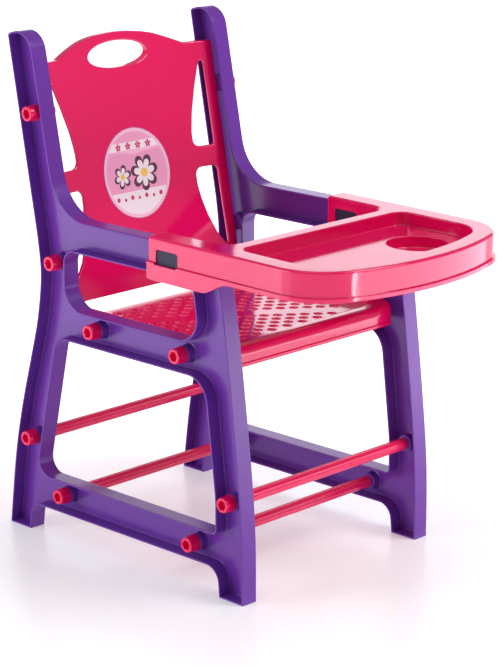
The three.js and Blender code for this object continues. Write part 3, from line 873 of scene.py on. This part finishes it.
def lip_bottom(a, b):
    """z of the bottom edge: level round the front, hanging lower beside the armrests."""
    if abs(a) < 125:
        return SKIRT_Z
    hang = smoothstep(b, -158, -122) * smoothstep(abs(a), 128, 135)
    fillet = 5
    into = min(max(0.0, b - SLEEVE_REAR + fillet), fillet)
    return SKIRT_Z - (SKIRT_Z - CHEEK_Z) * hang + (fillet - math.sqrt(fillet**2 - into**2))


def tray_walls(bm, outline):
    """Outer skin from the underside of the top, down inside, round the lip and up outside.

    Returns the outlines of the flat underside and of the flat top.
    """
    stand = [flare(a, b) for a, b in outline]
    low = [lip_bottom(a, b) for a, b in outline]
    edge = 2.6

    def level(inset, lip, z):
        points = offset(outline, [inset - lip * share for share in stand])
        return ring(bm, [(a, b, z) for a, b in points])

    def hanging(inset, rise):
        points = offset(outline, [inset - LIP * share for share in stand])
        return ring(bm, [(a, b, z + rise) for (a, b), z in zip(points, low)])

    rings = [level(3.2, 0, TRAY_UNDER), level(TRAY_WALL, 0, TRAY_UNDER - 0.5),
             level(TRAY_WALL, 0, LIP_INSIDE_Z + 0.6), level(TRAY_WALL, LIP, LIP_INSIDE_Z),
             hanging(TRAY_WALL, 0.5), hanging(TRAY_WALL - 0.5, 0), hanging(0.6, 0),
             hanging(0.15, 0.2), hanging(0, 0.6),
             level(0, LIP, STEP_Z - 0.6), level(0, LIP - 0.2, STEP_Z - 0.15),
             level(0, LIP - 0.7, STEP_Z), level(0, 0.3, STEP_Z), level(0, 0, STEP_Z + 0.3)]
    for z, inset in quarter((TRAY_TOP - edge, edge), edge, 270, 6):
        rings.append(level(inset, 0, z))
    skin(bm, rings)
    return offset(outline, 3.2), offset(outline, edge)


def nested(bm, loop, steps):
    """Walls of a recess: steps are (inset, z)."""
    skin(bm, [ring(bm, [(a, b, z) for a, b in offset(loop, inset)]) for inset, z in steps])


def rounded_rim(top, radius):
    """(inset, z) steps over the rounded edge of a recess in a face at height top."""
    return [(radius * (math.sin(t) - 1), top + radius * (math.cos(t) - 1)) for t in QUARTER_TURNS]


def foot(floor_z, radius):
    """(inset, z) steps from a leaning wall round the fillet to the floor."""
    lean = 0.6
    return [(lean + radius * (1 - math.cos(t)), floor_z + radius * (1 - math.sin(t)))
            for t in QUARTER_TURNS]


def tray_solid():
    """The tray before the armrests and the catches are cut out of it."""
    bm = bmesh.new()
    under, top = tray_walls(bm, tray_outline())
    recess = recess_outline()
    cup = circle(*CUP, 96)
    pan_z = FLOOR_Z - TRAY_WALL
    well_z = CUP_FLOOR_Z - TRAY_WALL
    nested(bm, recess, rounded_rim(TRAY_TOP, 1.3) + foot(FLOOR_Z, 1.2))
    nested(bm, cup, rounded_rim(FLOOR_Z, 1.0) + foot(CUP_FLOOR_Z, 2.0))
    nested(bm, recess, [(-3.2, TRAY_UNDER), (-TRAY_WALL, TRAY_UNDER - 0.5),
                        (-TRAY_WALL, pan_z + 0.6), (-2.0, pan_z)])
    nested(bm, cup, [(-3.3, pan_z), (-TRAY_WALL, pan_z - 0.6), (-TRAY_WALL, well_z + 0.7),
                     (-2.0, well_z)])

    faces = (
        (TRAY_TOP, top, [offset(recess, -1.3)]),
        (FLOOR_Z, offset(recess, 1.8), [offset(cup, -1.0)]),
        (CUP_FLOOR_Z, offset(cup, 2.6), []),
        (TRAY_UNDER, under, [offset(recess, -3.2)]),
        (pan_z, offset(recess, -2.0), [offset(cup, -3.3)]),
        (well_z, offset(cup, -2.0), []),
    )
    for height, outline, holes in faces:
        plate(bm, outline, holes, [], lambda a, b, z=height: (a, b, z))
    return bm


def prism(outline, low, high):
    """A plain solid used to cut: an outline in (y, z) along X."""
    bm = bmesh.new()
    sheet(bm, outline, [], [(low, 0), (high, 0)], lambda a, b, depth: (depth, a, b))
    return bm


def carve(obj, cutters):
    """Cut solids out of an object and leave a plain mesh."""
    for cutter in cutters:
        modifier = obj.modifiers.new("cut", "BOOLEAN")
        modifier.operation = "DIFFERENCE"
        modifier.solver = "EXACT"
        modifier.object = cutter
    depsgraph = bpy.context.evaluated_depsgraph_get()
    cut = bpy.data.meshes.new_from_object(obj.evaluated_get(depsgraph))
    obj.modifiers.clear()
    obj.data = cut
    for cutter in cutters:
        bpy.data.objects.remove(cutter)


def window_outline(gap=0.0):
    """(y, z) outline of a catch's window, or of a catch with a gap round it."""
    (y0, z0), (y1, z1) = WINDOW
    return rounded([(y0 + gap, z0 + gap, 0.6), (y1 - gap, z0 + gap, 0.6),
                    (y1 - gap, z1 - gap, 3), (y0 + gap, z1 - gap, 3)], 15)


def mouth(top):
    """(y, z) outline of the open rear end of a sleeve, up to a height."""
    return [(-58, 290), (-40, 290), (-40, top), (-58, top)]


def tray():
    """The tray, with its sleeves open at the rear and a window for each catch."""
    obj = make("tray_moulding", tray_solid(), TRAY_PINK, Vector)
    cuts = (                    # outline, and the x it reaches from and to
        (mouth(TRAY_UNDER), PANEL_HALF, 137.2),
        (mouth(LIP_INSIDE_Z), 118, 139.7),
        (window_outline(), SLEEVE_IN - 2, PANEL_HALF + 0.2),
        (window_outline(), FRAME_OUT + 0.2, TRAY_HALF + 5),
    )
    shapes = []
    for side in (-1, 1):
        for outline, near, far in cuts:
            low, high = sorted((side * near, side * far))
            shapes.append(make("cutter", prism(outline, low, high), TRAY_PINK, Vector))
    carve(obj, shapes)
    for vert in obj.data.vertices:
        vert.co = to_model(tilted(vert.co))
    install(obj, "tray", "tray")


def tray_catch(side, inner_x):
    """A flat catch in the window of a sleeve, with its +X face at inner_x."""
    bm = bmesh.new()
    sheet(bm, window_outline(CATCH_GAP), [], slab_path(CATCH_T, 0.45),
          lambda a, b, depth: (inner_x - CATCH_T + depth, a, b))
    name = f"tray_catch_{side}"
    obj = make(f"{name}_tongue", bm, SLATE, lambda p: to_model(tilted(p)))
    install(obj, name, name)


# ---- studio -----------------------------------------------------------------------------------
def floor():
    """A pale floor that glows with painted light, less near the chair and more away from it, as
    on a lit sweep.
    """
    bm = bmesh.new()
    corners = [(-1, -1), (1, -1), (1, 1), (-1, 1)]
    bm.faces.new(ring(bm, [(x * FLOOR_HALF, y * FLOOR_HALF, 0) for x, y in corners]))
    material, tree, shader, place = new_material("studio_floor")
    shader.inputs["Base Color"].default_value = (0.85, 0.85, 0.86, 1)
    shader.inputs["Roughness"].default_value = 0.3
    # painted light: the floor's emission is weaker near the chair and stronger farther out
    shader.inputs["Emission Color"].default_value = (1, 1, 1, 1)
    reach = tree.nodes.new("ShaderNodeVectorMath")
    reach.operation = "LENGTH"
    tree.links.new(place, reach.inputs[0])
    glow = tree.nodes.new("ShaderNodeMapRange")
    glow.interpolation_type = "SMOOTHSTEP"
    glow.inputs["From Min"].default_value = 0.15
    glow.inputs["From Max"].default_value = 0.75
    glow.inputs["To Min"].default_value = 0.27
    glow.inputs["To Max"].default_value = 0.66
    tree.links.new(reach.outputs["Value"], glow.inputs["Value"])
    tree.links.new(glow.outputs["Result"], shader.inputs["Emission Strength"])
    obj = make("studio_floor", bm, material)


def softbox(name, place, aim, width, height, power, colour=(1, 1, 1)):
    """A rectangular lamp at a place, aimed at a point; both in metres."""
    light = bpy.data.lights.new(name, "AREA")
    light.shape = "RECTANGLE"
    light.size = width
    light.size_y = height
    light.energy = power
    light.color = colour
    obj = bpy.data.objects.new(name, light)
    obj.location = place
    obj.rotation_euler = (Vector(aim) - Vector(place)).to_track_quat("-Z", "Y").to_euler()
    obj.visible_camera = False
    bpy.context.scene.collection.objects.link(obj)


def lighting():
    """Lamps above, in front and at the left, a lit backdrop and low panels beside the chair."""
    world = bpy.data.worlds.new("studio")
    world.use_nodes = True
    world.node_tree.nodes["Background"].inputs["Color"].default_value = (1, 1, 1, 1)
    world.node_tree.nodes["Background"].inputs["Strength"].default_value = 0.33
    bpy.context.scene.world = world
    target = (0, 0, 0.3)
    softbox("overhead", (-0.5, -0.3, 2.2), (0, 0, 0.2), 1.4, 1.4, 5)
    softbox("front", (0.9, -1.7, 2.3), target, 1.2, 1.2, 34)
    softbox("left", (-2.0, 0.9, 0.8), target, 1.2, 1.2, 18)
    softbox("backdrop", (3.4, 3.4, 1.04), target, 6.5, 1.5, 51, PALE_VIOLET)
    softbox("panel_right", (0.57, -0.75, 0.13), (-0.12, -0.03, 0.2), 1.32, 0.24, 2.8, PALE_VIOLET)
    softbox("panel_left", (-0.66, 0.72, 0.16), (0, 0.1, 0.2), 1.0, 0.3, 1.15, PALE_VIOLET)
    softbox("strip", (0.07, -1.16, 0.1), (-0.1, -0.25, 0.33), 0.05, 0.24, 0.6)


def camera():
    """A long lens from the front, at the sitter's right and a little above."""
    data = bpy.data.cameras.new("camera")
    data.lens = CAMERA_LENS
    data.sensor_width = 36
    data.clip_end = 200
    obj = bpy.data.objects.new("camera", data)
    level = math.cos(CAMERA_ELEVATION)
    towards = Vector((math.sin(CAMERA_AZIMUTH) * level, -math.cos(CAMERA_AZIMUTH) * level,
                      math.sin(CAMERA_ELEVATION)))
    obj.location = to_model(CAMERA_PLACE)
    obj.rotation_euler = towards.to_track_quat("Z", "Y").to_euler()
    bpy.context.scene.collection.objects.link(obj)
    bpy.context.scene.camera = obj


# ---- assembly ---------------------------------------------------------------------------------
bpy.context.scene.view_settings.view_transform = "Standard"
camera()
lighting()
floor()
side_frame("right", 0)
side_frame("left", FRAME_STEP)
for rod_place in RODS:
    cross_rod(rod_place)
for bolt_place in BOLTS:
    bolt(bolt_place, "right")
    bolt(bolt_place, "left")
seat()
backrest()
decal()
tray()
tray_catch("right", -TRAY_HALF + TRAY_WALL)
tray_catch("left", PANEL_HALF)
